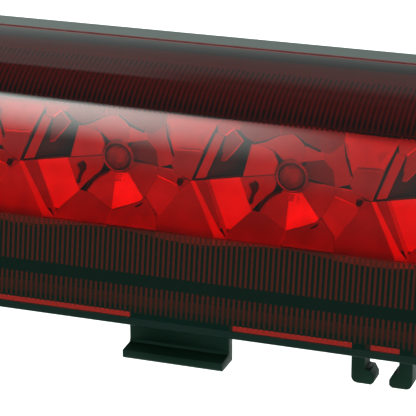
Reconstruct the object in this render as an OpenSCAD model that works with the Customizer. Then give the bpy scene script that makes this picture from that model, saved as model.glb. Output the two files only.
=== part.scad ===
// Third brake light: a long red lens welded to a black housing, with a faceted
// reflector and a row of LEDs inside, hooks below and spring clips behind.
// Sections are drawn as [y, z], y from the front of the lower rim towards the back
// and z from its underside. place() then puts the origin between the two locating
// pegs, on the plane of the rear pads. -Y is the lens side and +Z is up.

/* [Body] */
// Overall length of the lamp
lamp_length = 330; // [300:1:420]
// Depth from the front of the lower rim to the rear wall's outside
body_depth = 33; // [33:0.1:42]
// Thickness of the housing's walls
housing_wall = 2; // [1.6:0.1:2.6]
// Height of the housing's underside above the lower rim's underside
housing_floor = 2.8; // [2.6:0.1:3.4]
// How far the rear pads stand out of the rear wall
pad_height = 3; // [2:0.5:5]

/* [Lens] */
// Thickness of the red lens
lens_wall = 2.2; // [1.8:0.01:2.7]
// How far the lower front leans back from upright, in degrees
front_lean = 9.3; // [5:0.1:12]
// Height at which the straight front ends and the window's curve starts
window_foot = 17.5; // [16:0.5:20]
// Radius of the window's curve
window_radius = 47; // [42:1:52]
// Radius of the brow above the window
brow_radius = 18; // [15:1:22]
// Radius of the flat top
roof_radius = 66; // [55:1:75]

/* [Black edge trim] */
// Height of the trim on the lens's lower edge
trim_height = 1.4; // [1:0.1:2]
// Thickness of the trim's front lip and of its foot
trim_lip = 0.5; // [0.4:0.1:0.8]
// How far the top trim rises above the lens's upper edge
trim_rise = 0.7; // [0.3:0.1:1.2]

/* [Light cells] */
// Distance from one LED to the next
cell_pitch = 34; // [28:0.1:41]
// How far the last cell may reach into the rounded end
end_reach = 4; // [0:0.5:4]
// Depth at which the reflector's back plate faces forward
reflector_face = 16; // [15:0.5:18]
// Height of the LEDs above the lower rim's underside
led_height = 27; // [25:0.5:29]
// Thickness of the reflector's walls
reflector_wall = 1.5; // [1.2:0.1:2]
// Gap between the lens and the black frame behind it
bezel_gap = 1.2; // [0.6:0.1:1.6]
// Thickness of that frame
bezel_wall = 1.4; // [1:0.1:1.8]
// Height of the frame's opening
bezel_opening = 22; // [20:0.5:24]
// Diameter of an LED
led_diameter = 5; // [4:0.1:6]
// Clearance all round between an LED and its hole
led_gap = 0.5; // [0.2:0.1:0.8]
// Distance from the LED's flange to the board
spacer_length = 3; // [2:0.1:3.5]
// Thickness of the circuit board
board_thickness = 1.6; // [0.8:0.1:2]
// Height of the circuit board
board_height = 20; // [16:0.5:22]

/* [Hooks] */
// Thickness of the rail that carries the hooks
rail_thickness = 1.4; // [1:0.1:1.6]
// Depth of the rail from front to back
rail_depth = 14; // [12:0.5:18]
// Distance of the first panel hook's middle from the lamp's middle
panel_hook_x = 34.5; // [30:0.5:40]
// Width of a panel hook
panel_hook_width = 19.4; // [14:0.1:24]
// Thickness of a panel hook's upright wall
panel_hook_wall = 2.1; // [1.6:0.1:3]
// How far a panel hook's lip reaches forward
lip_reach = 3.9; // [3:0.1:5]
// Thickness of a panel hook's lip
lip_thickness = 1.9; // [1.5:0.1:2.5]
// How far the hooks reach below the lower rim
hook_drop = 6.3; // [6.2:0.1:8]
// Distance of the hose clip's middle from the lamp's middle
hose_clip_x = 4.05; // [0:0.05:8]
// Free width between the hose clip's two stems
hose_clip_gap = 6.3; // [5:0.1:8]
// Width of each stem of the hose clip
stem_width = 2.5; // [2:0.1:3]
// Depth of the hose clip from front to back
stem_depth = 3.8; // [3:0.1:5]
// How far each barb of the hose clip reaches into the gap
barb_reach = 1.75; // [1:0.05:2]
// Height of each barb
barb_height = 2.9; // [2:0.1:3.5]

/* [Rear fixings] */
// Distance between the two locating pegs
peg_spacing = 120; // [100:1:140]
// Diameter of a locating peg
peg_diameter = 6; // [5:0.1:7]
// Length of a locating peg
peg_length = 10; // [8:0.5:12]
// Height of the pegs above the lower rim's underside
peg_height = 24; // [22:0.5:26]
// Distance between the two spring clips
clip_spacing = 200; // [180:1:220]
// Width of a spring clip
clip_width = 8; // [6:0.5:10]
// Thickness of the clip's spring steel
clip_steel = 0.6; // [0.4:0.1:0.8]
// Thickness of the fin that a spring clip grips
fin_thickness = 2.6; // [2:0.1:3]
// Length of that fin
fin_length = 14; // [12:0.5:16]
// Width of the foam gasket
gasket_width = 5; // [4:0.5:7]
// Diameter of the breather cap
vent_diameter = 12; // [10:0.5:14]

/* [Socket] */
// Inside width of the plug socket
socket_width = 12; // [10:0.5:14]
// Inside height of the plug socket
socket_height = 8; // [7:0.5:10]
// Depth of the plug socket
socket_depth = 12; // [10:0.5:16]
// Wall of the plug socket
socket_wall = 1.4; // [1.2:0.1:2]
// Width of a blade terminal
blade_width = 2.8; // [2.2:0.1:3.2]
// Thickness of a blade terminal
blade_thickness = 0.8; // [0.6:0.1:1]
// Distance between the two blade terminals
blade_spacing = 5; // [4.5:0.1:6]

/* [Screws] */
// Shank diameter of the small self-tapping screws
screw_diameter = 2.6; // [2.2:0.1:3]
// Head diameter of the screws
screw_head = 5; // [4.5:0.1:5.5]
// Head height of the screws
screw_head_height = 1.6; // [1.2:0.1:2]
// Clearance all round where pieces slide or seat on one another
fit_gap = 0.1; // [0.05:0.01:0.2]

/* [Hidden] */
$fn = 48;
e = 0.01; // small overlap that joins two shapes of one piece

seat_depth = body_depth + pad_height;      // y of the plane that meets the car
back_inside = body_depth - housing_wall;
floor_inside = housing_floor + housing_wall;
end_x = lamp_length / 2 - body_depth;      // where the rounded ends start
cell_count = 2 * floor((end_x + end_reach) / cell_pitch);
cells_half = cell_count * cell_pitch / 2;  // half length of the row of cells

// Front and top curve: three arcs that follow on smoothly from the leaning front.
window_end = 36;  // lean at the top of the window, in degrees
brow_end = 70;    // lean at the top of the brow
roof_end = 78;    // lean at the lens's upper edge
ledge_start = 74; // lean where the housing's top wall starts below the lens

function out(a) = [-cos(a), sin(a)]; // outward normal where the surface leans by a
function face_y(z) = z * tan(front_lean);
function inner_y(z, t) = face_y(z) + t / cos(front_lean);
window_start = [face_y(window_foot), window_foot];
window_centre = window_start - window_radius * out(front_lean);
brow_centre = window_centre + (window_radius - brow_radius) * out(window_end);
roof_centre = brow_centre + (brow_radius - roof_radius) * out(brow_end);

// Points of one arc, leaving out its first point
function arc(c, r, from, to, n) = [for (i = [1:n]) c + r * out(from + (to - from) * i / n)];
// The whole curve above height z, set in from the outside by t, up to a lean of top
function skin(z, t, top) = concat(
    [[inner_y(z, t), z], window_centre + (window_radius - t) * out(front_lean)],
    arc(window_centre, window_radius - t, front_lean, window_end, 8),
    arc(brow_centre, brow_radius - t, window_end, brow_end, 8),
    arc(roof_centre, roof_radius - t, brow_end, top, 4));
function reversed(p) = [for (i = [len(p) - 1:-1:0]) p[i]];

lens_top = roof_centre + roof_radius * out(roof_end);
lens_top_inside = roof_centre + (roof_radius - lens_wall) * out(roof_end);
ledge_inset = lens_wall + housing_wall;
bezel_inset = lens_wall + bezel_gap + bezel_wall;

// Depths of what lies behind the reflector
plate_back = reflector_face + reflector_wall;
led_flange = plate_back + 4.5;             // the LED's flange rests on its spacer here
board_front = led_flange + spacer_length;
board_back = board_front + board_thickness;
board_low = led_height - board_height / 2;
led_xs = [for (i = [0:cell_count - 1]) (i - (cell_count - 1) / 2) * cell_pitch];
lead_offset = 1.27;                        // half the LED's lead spacing
lead_radius = 0.3;
board_screw_xs = [for (s = [-1, 1], k = [1, cell_count / 2 - 1]) s * k * cell_pitch];
board_screw_z = led_height + 6.5;
ear_x = cells_half + 5;                    // the reflector's end screws
ear_radius = 4;
post_radius = 3.4;

rail_bottom = housing_floor - rail_thickness;
hook_face = inner_y(housing_floor, lens_wall) + fit_gap; // y of the hooks' front faces
// Panel hooks stand at 1 and 3 times panel_hook_x, as far as the straight part goes
hook_steps = [for (k = [1, 3]) if (k * panel_hook_x + panel_hook_width <= end_x) k];
rail_half = max(hook_steps) * panel_hook_x + panel_hook_width;
hook_xs = [for (s = [-1, 1], k = hook_steps) s * k * panel_hook_x];
rail_screw_xs = [for (s = [-1, 1], k = hook_steps) s * (k - 0.5) * panel_hook_x];
rail_screw_y = hook_face + rail_depth * 0.6;
boss_height = 5;

seal_thickness = 1;
flange_back = body_depth + seal_thickness + 2;   // rear face of the socket's flange
flange_radius = 9;
throat_radius = 6.6;                       // socket's neck through the rear wall
socket_screw_x = 11.5;
shroud_back = flange_back + socket_depth;
vent_x = -34;
vent_neck = 3;
vent_z = peg_height;
fin_back = body_depth + fin_length;
leaf_hinge = [fin_back - 1, peg_height + fin_thickness / 2 + 1];

// ---- Ways to place and sweep a section ----
module place() translate([0, -seat_depth, -peg_height]) children();
module along_x(length) rotate([90, 0, 90]) linear_extrude(length, center = true) children();
module along_y(from, to) translate([0, to, 0]) rotate([90, 0, 0])
    linear_extrude(to - from) children();
module rod_y(x, z, r, from, to) translate([x, to, z]) rotate([90, 0, 0])
    cylinder(r = r, h = to - from);

// A [y, z] outline run along the lamp and round both ends to the rear wall
module run_round(points) {
    along_x(2 * end_x) polygon(points);
    for (s = [-1, 1]) translate([s * end_x, body_depth, 0])
        rotate([0, 0, s > 0 ? -90 : 180]) rotate_extrude(angle = 90)
            polygon([for (p = points) [body_depth - p[0], p[1]]]);
}
// Everything behind depth y
module behind(y) translate([-lamp_length, y, -lamp_length])
    cube(2 * [lamp_length, lamp_length, lamp_length]);
// Pan-head screw along +Y: its head's seat is at y = 0
module screw(length) {
    rotate([-90, 0, 0]) cylinder(d = screw_diameter, h = length);
    rotate([90, 0, 0]) difference() {
        cylinder(d = screw_head, h = screw_head_height);
        for (a = [0, 90]) rotate([0, 0, a]) translate([-1.5, -0.3, screw_head_height - 0.8])
            cube([3, 0.6, 1]);
    }
}

// ---- Outer pieces ----
module lens() color([0.6, 0.03, 0.04]) place() difference() {
    run_round(concat(
        [[face_y(trim_lip) + trim_lip, trim_lip], [face_y(trim_height) + trim_lip, trim_height]],
        skin(trim_height, 0, roof_end), reversed(skin(trim_lip, lens_wall, roof_end))));
    behind(back_inside);
}

module edge_trim() color([0.12, 0.14, 0.13]) place() {
    difference() {
        run_round([[0, 0], [inner_y(0, lens_wall), 0], [inner_y(trim_lip, lens_wall), trim_lip],
            [face_y(trim_lip) + trim_lip, trim_lip],
            [face_y(trim_height) + trim_lip, trim_height], [face_y(trim_height), trim_height]]);
        behind(back_inside);
    }
    run_round([lens_top, [body_depth, lens_top[1] + trim_rise],
        [body_depth, lens_top_inside[1]], lens_top_inside]);
}

// End wall behind a rounded end, out to the lens's outside
module end_wall() along_y(back_inside, body_depth)
    polygon(concat([[0, housing_floor]],
        [for (p = skin(housing_floor, 0, roof_end)) [body_depth - p[0], p[1]]],
        [[body_depth - lens_top_inside[0], lens_top_inside[1]], [0, lens_top_inside[1]]]));

module housing_shell() {
    roof_inner = roof_radius - ledge_inset;
    run_round(concat(
        [[inner_y(housing_floor, lens_wall), housing_floor], [body_depth, housing_floor],
            [body_depth, lens_top_inside[1]]],
        reversed(arc(roof_centre, roof_radius - lens_wall, ledge_start, roof_end, 2)),
        [roof_centre + (roof_radius - lens_wall) * out(ledge_start),
            roof_centre + roof_inner * out(ledge_start),
            roof_centre + roof_inner * out(roof_end),
            [back_inside, lens_top_inside[1] - housing_wall], [back_inside, floor_inside],
            [inner_y(floor_inside, lens_wall), floor_inside]]));
    for (s = [0, 1]) mirror([s, 0, 0]) translate([end_x - e, 0, 0]) end_wall();
}

module housing() color([0.07, 0.08, 0.08]) place() difference() {
    union() {
        housing_shell();
        for (s = [-1, 1]) {
            rod_y(s * ear_x, led_height, post_radius, plate_back, back_inside + e);
            rod_y(s * peg_spacing / 2, peg_height, 8, body_depth - e, seat_depth);
            rod_y(s * peg_spacing / 2, peg_height, peg_diameter / 2, seat_depth - e,
                seat_depth + peg_length - 1);
            translate([s * peg_spacing / 2, seat_depth + peg_length, peg_height])
                rotate([90, 0, 0])
                cylinder(d1 = peg_diameter - 2, d2 = peg_diameter, h = 1 + e);
            translate([s * clip_spacing / 2 - clip_width / 2 - 1, body_depth - e,
                peg_height - fin_thickness / 2])
                cube([clip_width + 2, fin_length, fin_thickness]);
            rod_y(s * socket_screw_x, peg_height, 3, back_inside - 4, back_inside + e);
        }
        for (x = rail_screw_xs) translate([x, rail_screw_y, floor_inside - e])
            cylinder(r = 3, h = boss_height);
        rod_y(vent_x, vent_z, vent_neck, body_depth - e, body_depth + 1.5);
    }
    for (s = [-1, 1]) {
        rod_y(s * ear_x, led_height, screw_diameter / 2, plate_back - e, plate_back + 9);
        rod_y(s * socket_screw_x, peg_height, screw_diameter / 2, back_inside - 3.5,
            body_depth + e);
    }
    for (x = rail_screw_xs) translate([x, rail_screw_y, housing_floor - e])
        cylinder(d = screw_diameter, h = boss_height);
    rod_y(0, peg_height, throat_radius + fit_gap, back_inside - e, body_depth + e);
    rod_y(vent_x, vent_z, 1.5, back_inside - e, body_depth + 1.5 + e);
}

// Outline of one side of the hose clip, its outer bottom corner rounded
module hose_hook() {
    r = 1.2;
    top = rail_bottom + e;
    barb_top = -hook_drop + barb_height;
    tip = stem_width + barb_reach;
    linear_extrude(stem_depth) polygon(concat(
        [[0, top], [stem_width, top], [stem_width, barb_top],
            [stem_width + barb_reach * 0.6, barb_top - 0.1], [tip, barb_top - 1.4],
            [tip, -hook_drop + 0.5], [tip - 0.5, -hook_drop]],
        [for (a = [270:-15:180]) [r, -hook_drop + r] + r * [cos(a), sin(a)]]));
}

// Side outline of a panel hook: an upright wall with a lip that points forward
module panel_hook() along_x(panel_hook_width) polygon([
    [hook_face + panel_hook_wall, rail_bottom + e], [hook_face, rail_bottom + e],
    [hook_face, -hook_drop + lip_thickness + 0.5], [hook_face - 0.4, -hook_drop + lip_thickness],
    [hook_face - lip_reach, -hook_drop + lip_thickness - 0.2],
    [hook_face - lip_reach, -hook_drop + 0.4], [hook_face - lip_reach + 0.4, -hook_drop],
    [hook_face + panel_hook_wall, -hook_drop]]);

module mounting_rail() color([0.08, 0.11, 0.1]) place() difference() {
    union() {
        translate([-rail_half, hook_face, rail_bottom])
            cube([2 * rail_half, rail_depth, rail_thickness]);
        for (x = hook_xs) translate([x, 0, 0]) panel_hook();
        for (s = [0, 1]) translate([hose_clip_x, hook_face + stem_depth, 0])
            mirror([s, 0, 0]) translate([-hose_clip_gap / 2 - stem_width, 0, 0])
                rotate([90, 0, 0]) hose_hook();
    }
    for (x = rail_screw_xs) translate([x, rail_screw_y, rail_bottom - e])
        cylinder(d = screw_diameter + 0.6, h = rail_thickness + 2 * e);
}

module body_gasket() color([0.16, 0.16, 0.17]) place() difference() {
    gasket_outline(0, seat_depth);
    gasket_outline(gasket_width, seat_depth + e);
}
// Rounded rectangle on the rear wall, set in by t
module gasket_outline(t, back) {
    half = end_x + 8 - t;
    low = floor_inside + 1 + t;
    high = lens_top_inside[1] - 2 - t;
    r = max(6 - t, 1);
    from = body_depth - (t > 0 ? e : 0);
    along_y(from, back) {
        translate([-half + r, low]) square([2 * (half - r), high - low]);
        translate([-half, low + r]) square([2 * half, high - low - 2 * r]);
        for (x = [-half + r, half - r], z = [low + r, high - r]) translate([x, z]) circle(r);
    }
}

// ---- Inner pieces ----
// Black frame close behind the lens, open where the cells are
module bezel() color([0.05, 0.06, 0.06]) place() difference() {
    low = floor_inside + fit_gap;
    top = ledge_start - 1.5;
    run_round(concat(skin(low, lens_wall + bezel_gap, top), reversed(skin(low, bezel_inset, top))));
    translate([-cells_half, 0, led_height - bezel_opening / 2])
        cube([2 * cells_half, back_inside, bezel_opening]);
    behind(back_inside - 1);
    for (s = [-1, 1]) rod_y(s * ear_x, led_height, 4.5, reflector_face - 4, back_inside);
}

// Section of the reflector's front surface, then of its back
reflector_low = led_height - 10.8;
reflector_lip = inner_y(reflector_low, bezel_inset) + 0.5;
reflector_front = [[reflector_lip, reflector_low], [reflector_face, led_height - 6.5],
    [reflector_face, led_height + 6.5], [15, led_height + 10.2]];
reflector_rear = [[reflector_lip + 0.5, reflector_low - 1.2], [plate_back, led_height - 7.5],
    [plate_back, led_height + 7], [16.4, led_height + 10.8]];
ridge_tip = 10;

module reflector() color([0.75, 0.1, 0.1]) place() difference() {
    union() {
        along_x(2 * cells_half) polygon(concat(reflector_front, reversed(reflector_rear)));
        for (k = [-cell_count / 2:cell_count / 2]) intersection() {
            along_x(2 * cells_half) intersection() {
                polygon(concat(reflector_front, [[reflector_lip, led_height + 10.2]]));
                polygon(concat(skin(floor_inside, bezel_inset + fit_gap, brow_end),
                    [[back_inside, lens_top[1]], [back_inside, floor_inside]]));
            }
            translate([k * cell_pitch, 0, 0]) linear_extrude(2 * led_height)
                polygon([[-8, reflector_face + e], [-1.5, ridge_tip], [1.5, ridge_tip],
                    [8, reflector_face + e]]);
        }
        for (s = [-1, 1]) {
            rod_y(s * ear_x, led_height, ear_radius, reflector_face, plate_back);
            translate([s > 0 ? cells_half - e : -ear_x, reflector_face, led_height - ear_radius])
                cube([ear_x - cells_half + e, reflector_wall, 2 * ear_radius]);
        }
        for (x = board_screw_xs) rod_y(x, board_screw_z, 2.8, plate_back - e, board_front);
    }
    for (x = led_xs) rod_y(x, led_height, led_diameter / 2 + led_gap, 0, plate_back + e);
    for (s = [-1, 1]) rod_y(s * ear_x, led_height, screw_diameter / 2 + 0.3, 0, plate_back + e);
    for (x = board_screw_xs)
        rod_y(x, board_screw_z, screw_diameter / 2, plate_back + 1, board_front + e);
}

module circuit_board() color([0.05, 0.3, 0.16]) place() difference() {
    half = cells_half - 4;
    translate([-half, board_front, board_low]) cube([2 * half, board_thickness, board_height]);
    for (x = led_xs, s = [-1, 1])
        rod_y(x + s * lead_offset, led_height, lead_radius + fit_gap, board_front - 1, board_back + 1);
    for (x = board_screw_xs)
        rod_y(x, board_screw_z, screw_diameter / 2 + 0.2, board_front - 1, board_back + 1);
    for (s = [-1, 1]) translate([s * blade_spacing / 2, board_front - 1, peg_height])
        translate([-blade_thickness / 2 - fit_gap, 0, -blade_width / 2 - fit_gap])
        cube([blade_thickness + 2 * fit_gap, board_thickness + 2, blade_width + 2 * fit_gap]);
}

module leds() color([0.85, 0.25, 0.2]) place() for (x = led_xs) {
    r = led_diameter / 2;
    length = led_diameter * 1.74;
    rod_y(x, led_height, r, led_flange - length + r, led_flange);
    translate([x, led_flange - length + r, led_height]) sphere(r = r);
    rod_y(x, led_height, r + 0.4, led_flange - 1, led_flange);
}

module led_leads() color("silver") place() for (x = led_xs, s = [-1, 1])
    rod_y(x + s * lead_offset, led_height, lead_radius, led_flange, board_back + 1.8);

module led_spacers() color([0.9, 0.9, 0.88]) place() difference() {
    for (x = led_xs) rod_y(x, led_height, led_diameter / 2, led_flange, board_front);
    for (x = led_xs, s = [-1, 1]) rod_y(x + s * lead_offset, led_height,
        lead_radius + fit_gap, led_flange - e, board_front + e);
}

// A part with a round body that lies along X on the back of the board
module axial_part(x, z, r, length) translate([x, board_back + r + 0.2, z]) {
    rotate([0, 90, 0]) cylinder(r = r, h = length, center = true);
    for (s = [-1, 1]) {
        translate([s * (length / 2 + 1), 0, 0]) rotate([0, 90, 0])
            cylinder(r = 0.3, h = 2 + 2 * e, center = true);
        translate([s * (length / 2 + 2), e, 0]) rotate([90, 0, 0])
            cylinder(r = 0.3, h = r + 0.2 + e);
    }
}

module resistors() color([0.75, 0.65, 0.45]) place()
    for (x = board_screw_xs) axial_part(x, board_low + 4, 1.2, 6.3);

module polarity_diode() color([0.1, 0.1, 0.1]) place()
    axial_part(0, board_low + board_height - 4, 1.35, 5.2);

module surge_suppressor() color([0.1, 0.25, 0.6]) place() {
    x = -cell_pitch / 2;
    z = board_low + board_height - 5;
    rod_y(x, z, 3.5, board_back + 0.3, board_back + 3.3);
    for (s = [-1, 1]) rod_y(x + 2 * s, z, 0.3, board_back, board_back + 0.4);
}

module blade_terminals() color([0.8, 0.7, 0.35]) place() for (s = [-1, 1])
    translate([s * blade_spacing / 2 - blade_thickness / 2, board_front - 0.6,
        peg_height - blade_width / 2])
        cube([blade_thickness, shroud_back - 3 - board_front, blade_width]);

module connector_socket() color([0.1, 0.1, 0.11]) place() difference() {
    union() {
        rod_y(0, peg_height, throat_radius, back_inside, flange_back);
        rod_y(0, peg_height, flange_radius, body_depth + seal_thickness, flange_back);
        for (s = [-1, 1]) rod_y(s * socket_screw_x, peg_height, 3, body_depth, flange_back);
        translate([-socket_screw_x, body_depth + seal_thickness, peg_height - 3])
            cube([2 * socket_screw_x, flange_back - body_depth - seal_thickness, 6]);
        translate([-socket_width / 2 - socket_wall, flange_back - e,
            peg_height - socket_height / 2 - socket_wall])
            cube([socket_width + 2 * socket_wall, socket_depth, socket_height + 2 * socket_wall]);
    }
    translate([-socket_width / 2, flange_back, peg_height - socket_height / 2])
        cube([socket_width, socket_depth + 1, socket_height]);
    for (s = [-1, 1]) {
        rod_y(s * socket_screw_x, peg_height, screw_diameter / 2 + 0.2, body_depth - 1,
            flange_back + 1);
        translate([s * blade_spacing / 2 - blade_thickness / 2, back_inside - 1,
            peg_height - blade_width / 2])
            cube([blade_thickness, flange_back - back_inside + 2, blade_width]);
    }
}

module socket_seal() color([0.75, 0.3, 0.12]) place() difference() {
    rod_y(0, peg_height, flange_radius - 0.6, body_depth, body_depth + seal_thickness);
    rod_y(0, peg_height, throat_radius + fit_gap, body_depth - 1, body_depth + 2);
}

module socket_screws() color("silver") place() for (s = [-1, 1])
    translate([s * socket_screw_x, flange_back, peg_height]) rotate([0, 0, 180])
        screw(flange_back - back_inside + 2);

module board_screws() color("silver") place() for (x = board_screw_xs)
    translate([x, board_back, board_screw_z]) rotate([0, 0, 180])
        screw(board_back - plate_back - 1.5);

module reflector_screws() color("silver") place() for (s = [-1, 1])
    translate([s * ear_x, reflector_face, led_height]) screw(9);

module rail_screws() color("silver") place() for (x = rail_screw_xs)
    translate([x, rail_screw_y, rail_bottom]) rotate([90, 0, 0]) screw(rail_thickness + 4.5);

module vent_cap() color([0.12, 0.12, 0.12]) place() difference() {
    rod_y(vent_x, vent_z, vent_diameter / 2, body_depth + 0.4, body_depth + 2.8);
    rod_y(vent_x, vent_z, vent_neck + fit_gap, body_depth, body_depth + 1.9);
    rod_y(vent_x, vent_z, vent_neck + 1.2, body_depth, body_depth + 1.1);
}

module vent_membrane() color([0.95, 0.95, 0.93]) place()
    rod_y(vent_x, vent_z, vent_neck - 0.2, body_depth + 1.5, body_depth + 1.8);

// Fixed part of a spring clip: a steel U over the fin, its nose at the back
module spring_clip(s) color([0.6, 0.6, 0.58]) place()
    translate([s * clip_spacing / 2, 0, peg_height]) difference() {
        half = fin_thickness / 2 + fit_gap;
        translate([-clip_width / 2, body_depth + 2, -half - clip_steel])
            cube([clip_width, fin_length - 2 + fit_gap + clip_steel, 2 * (half + clip_steel)]);
        translate([-clip_width, 0, -half]) cube([2 * clip_width, fin_back + fit_gap, 2 * half]);
    }

// Sprung leaf of a clip: rises from the nose to a crest and ends in a short tail
module spring_leaf(s) color([0.66, 0.66, 0.64]) place()
    translate([s * clip_spacing / 2, 0, 0]) along_x(clip_width - 1) polygon([
        leaf_hinge + [0.3, 0], leaf_hinge + [-9, 4], leaf_hinge + [-11.2, 3.2],
        leaf_hinge + [-11.2, 3.2 + clip_steel], leaf_hinge + [-9, 4 + clip_steel],
        leaf_hinge + [0.3, clip_steel]]);

module spring_clip_left() spring_clip(-1);
module spring_clip_right() spring_clip(1);
module spring_leaf_left() spring_leaf(-1);
module spring_leaf_right() spring_leaf(1);

lens();
edge_trim();
housing();
mounting_rail();
bezel();
reflector();
circuit_board();
leds();
led_leads();
led_spacers();
resistors();
polarity_diode();
surge_suppressor();
blade_terminals();
connector_socket();
socket_seal();
socket_screws();
board_screws();
reflector_screws();
rail_screws();
body_gasket();
vent_cap();
vent_membrane();
spring_clip_left();
spring_clip_right();
spring_leaf_left();
spring_leaf_right();
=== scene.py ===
import math

import bmesh
import bpy
from mathutils import Matrix, Vector


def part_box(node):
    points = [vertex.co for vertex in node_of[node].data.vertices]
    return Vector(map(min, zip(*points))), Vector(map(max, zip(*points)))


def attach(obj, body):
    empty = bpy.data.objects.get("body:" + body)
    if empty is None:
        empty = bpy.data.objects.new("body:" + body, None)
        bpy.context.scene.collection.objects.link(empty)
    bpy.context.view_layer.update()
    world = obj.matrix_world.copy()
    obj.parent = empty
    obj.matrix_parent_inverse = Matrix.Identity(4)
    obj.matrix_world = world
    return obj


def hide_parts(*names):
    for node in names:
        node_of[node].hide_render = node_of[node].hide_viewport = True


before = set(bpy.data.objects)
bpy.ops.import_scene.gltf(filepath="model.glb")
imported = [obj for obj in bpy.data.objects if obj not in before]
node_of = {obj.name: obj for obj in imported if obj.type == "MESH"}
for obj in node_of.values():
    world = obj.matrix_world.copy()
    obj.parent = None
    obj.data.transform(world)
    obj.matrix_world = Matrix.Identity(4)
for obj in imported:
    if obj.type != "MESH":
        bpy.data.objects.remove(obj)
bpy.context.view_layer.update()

# Lens. One moulding of clear red acrylic. Its section is the same all the way along: a front
# that leans back, a curved window, a tight brow and a flat roof, run round both ends of the
# lamp to the housing, to which it is welded.
MM = 0.001
rim_low, rim_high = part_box("edge_trim")
SEAT = -rim_low.y / MM                       # from the rim's front back to the plane of the rear pads
PEGS = -rim_low.z / MM                       # from the rim's underside up to the locating pegs
DEPTH = (rim_high.y - rim_low.y) / MM        # from the rim's front to the rear wall's outside
HALF = rim_high.x / MM - DEPTH               # where the rounded ends start
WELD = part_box("lens")[1].y / MM + SEAT       # the lens ends at this depth in the rounded ends
LENS_WALL = 2.2
LEAN = math.radians(9.3)                     # of the straight front
FRONT_TOP = 17.5                             # height at which the front ends and the window starts
WINDOW_TOP, BROW_TOP, ROOF_END = (math.radians(lean) for lean in (36, 70, 78))
WINDOW_R, BROW_R, ROOF_R = 47.0, 18.0, 66.0
NOTCH, LIP = 1.4, 0.5                        # the step at the foot that the lower trim fills
SAME_LEAN = 1e-6                             # radians
SAME_POINT = 1e-7                            # metres


def outward(lean):
    return Vector((-math.cos(lean), math.sin(lean)))


window_centre = Vector((FRONT_TOP * math.tan(LEAN), FRONT_TOP)) - WINDOW_R * outward(LEAN)
brow_centre = window_centre + (WINDOW_R - BROW_R) * outward(WINDOW_TOP)
roof_centre = brow_centre + (BROW_R - ROOF_R) * outward(BROW_TOP)
ARCS = ((WINDOW_TOP, window_centre, WINDOW_R),
        (BROW_TOP, brow_centre, BROW_R),
        (ROOF_END, roof_centre, ROOF_R))


def front(height, inset=0.0):
    """[y, z] at a height on the straight front, set in from the lens's outside."""
    return Vector((height * math.tan(LEAN) + inset / math.cos(LEAN), height))


def curve(lean, inset=0.0):
    """[y, z] where the window, brow or roof leans by an angle, set in from the outside."""
    centre, radius = next((c, r) for top, c, r in ARCS if lean <= top + SAME_LEAN)
    return centre + (radius - inset) * outward(lean)


def spread(low, high, steps):
    """Evenly spaced values from low to high."""
    return [low + (high - low) * i / steps for i in range(steps + 1)]


def skin(bottom, inset):
    """The section from a height on the front, over the brow, to the end of the roof."""
    leans = spread(LEAN, WINDOW_TOP, 24) + spread(WINDOW_TOP, BROW_TOP, 24)[1:]
    leans += spread(BROW_TOP, ROOF_END, 8)[1:]
    return [front(bottom, inset)] + [curve(lean, inset) for lean in leans]


def solid(name, points, faces, finish=None, sharp=30, weld=True):
    """A closed mesh from points in millimetres: x along the lamp, y from the rim, z from its underside."""
    mesh = bpy.data.meshes.new(name)
    mesh.from_pydata([(x * MM, (y - SEAT) * MM, (z - PEGS) * MM) for x, y, z in points], [], faces)
    edit = bmesh.new()
    edit.from_mesh(mesh)
    if weld:
        bmesh.ops.remove_doubles(edit, verts=edit.verts, dist=SAME_POINT)
    bmesh.ops.recalc_face_normals(edit, faces=edit.faces)
    edit.to_mesh(mesh)
    edit.free()
    mesh.shade_smooth()
    mesh.set_sharp_from_angle(angle=math.radians(sharp))
    if finish:
        mesh.materials.append(finish)
    piece = bpy.data.objects.new(name, mesh)
    bpy.context.scene.collection.objects.link(piece)
    return piece


def round_the_lamp(section, columns=(-HALF, HALF), stop=DEPTH, turns=28):
    """Points and faces of a section run along the lamp and round both ends back to a depth."""
    stations = [(-HALF, -i / turns) for i in range(turns, 0, -1)] + [(x, 0) for x in columns]
    stations += [(HALF, i / turns) for i in range(1, turns + 1)]
    axis_gap = 0.001                         # keeps a point off the axis that the end turns about
    points = []
    for x, share in stations:
        outline = section(x) if callable(section) else section
        for y, z in outline:
            reach = max(DEPTH - y, axis_gap)
            turn = share * math.acos(min(1, (DEPTH - stop) / reach))
            points.append((x + reach * math.sin(turn), DEPTH - reach * math.cos(turn), z))
    count = len(points) // len(stations)
    faces = [list(range(count)), list(range(len(points) - count, len(points)))]
    for ring in range(len(stations) - 1):
        for i in range(count):
            a, b = ring * count + i, ring * count + (i + 1) % count
            faces.append([a, b, b + count, a + count])
    return points, faces


def new_finish(name):
    finish = bpy.data.materials.new(name)
    finish.use_nodes = True
    finish.node_tree.nodes.clear()
    return finish


def add(finish, kind, values=None, **links):
    """A shader node. values are socket numbers or names with constants; links are sockets fed by others."""
    tree = finish.node_tree
    node = tree.nodes.new("ShaderNode" + kind)
    for key, value in (values or {}).items():
        if isinstance(key, int) or key in node.inputs:
            node.inputs[key].default_value = value
        else:
            setattr(node, key, value)
    for key, source in links.items():
        socket = node.inputs[int(key[1:])] if key[1:].isdigit() else node.inputs[key.replace("_", " ")]
        tree.links.new(source, socket)
    return node


def place_on(finish):
    """The place on the piece that a pattern follows."""
    return add(finish, "TexCoord").outputs["Object"]


def above(finish, start, end):
    """0 up to one height and 1 from another on, in millimetres from the rim's underside."""
    height = add(finish, "SeparateXYZ", i0=place_on(finish)).outputs["Z"]
    return add(finish, "MapRange", {1: (start - PEGS) * MM, 2: (end - PEGS) * MM}, i0=height).outputs[0]


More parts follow.
